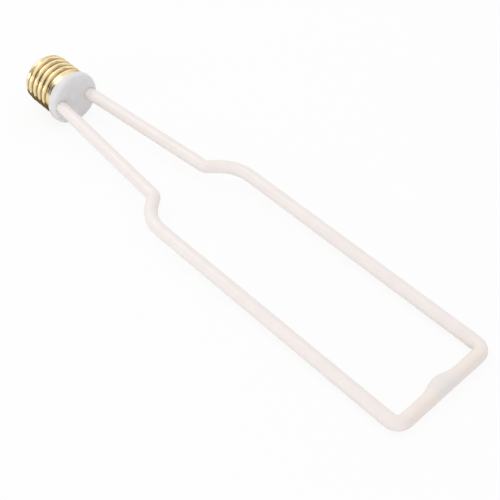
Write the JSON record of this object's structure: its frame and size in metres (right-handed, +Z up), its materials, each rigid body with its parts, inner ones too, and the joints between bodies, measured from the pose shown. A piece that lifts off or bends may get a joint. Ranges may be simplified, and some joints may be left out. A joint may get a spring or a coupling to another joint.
{
  "type": "led light bulb",
  "caption": "Mains LED lamp: a thin frosted glass tube bent to a bottle outline, in an opal collar on a screw cap.",
  "frame": {"origin": "on the table, under the middle of the lamp's box as it lies at rest", "axes": "+X from the cap to the bottle outline's bottom, +Y towards the left leg seen from the cap, +Z up; the lamp's own axis slopes 2.6 degrees down towards +X"},
  "size_m": [0.2714, 0.062, 0.0281],
  "materials": {
    "frosted_glass": "white frosted, satin",
    "strip_coat": "soft phosphor coat",
    "wire": "tinned",
    "opal_plastic": "opal, satin",
    "gilt_shell": "bright gilt",
    "black_insulator": "black, glossy",
    "contact_metal": "tinned",
    "board": "white solder mask",
    "package": "moulded black",
    "resistor": "lacquered",
    "can_sleeve": "shrunk sleeve"
  },
  "bodies": {
    "root": {"glass_tube": "frosted_glass", "led_strip_left": "strip_coat", "led_strip_right": "strip_coat", "strip_link": "wire", "lead_in_wire_left": "wire", "lead_in_wire_right": "wire", "collar": "opal_plastic", "screw_shell": "gilt_shell", "base_insulator": "black_insulator", "contact_button": "contact_metal", "driver_board": "board", "bridge_rectifier": "package", "driver_chip": "package", "sense_resistor": "resistor", "smoothing_capacitor": "can_sleeve", "fuse_resistor": "resistor", "neutral_lead": "wire"}
  },
  "joints": []
}
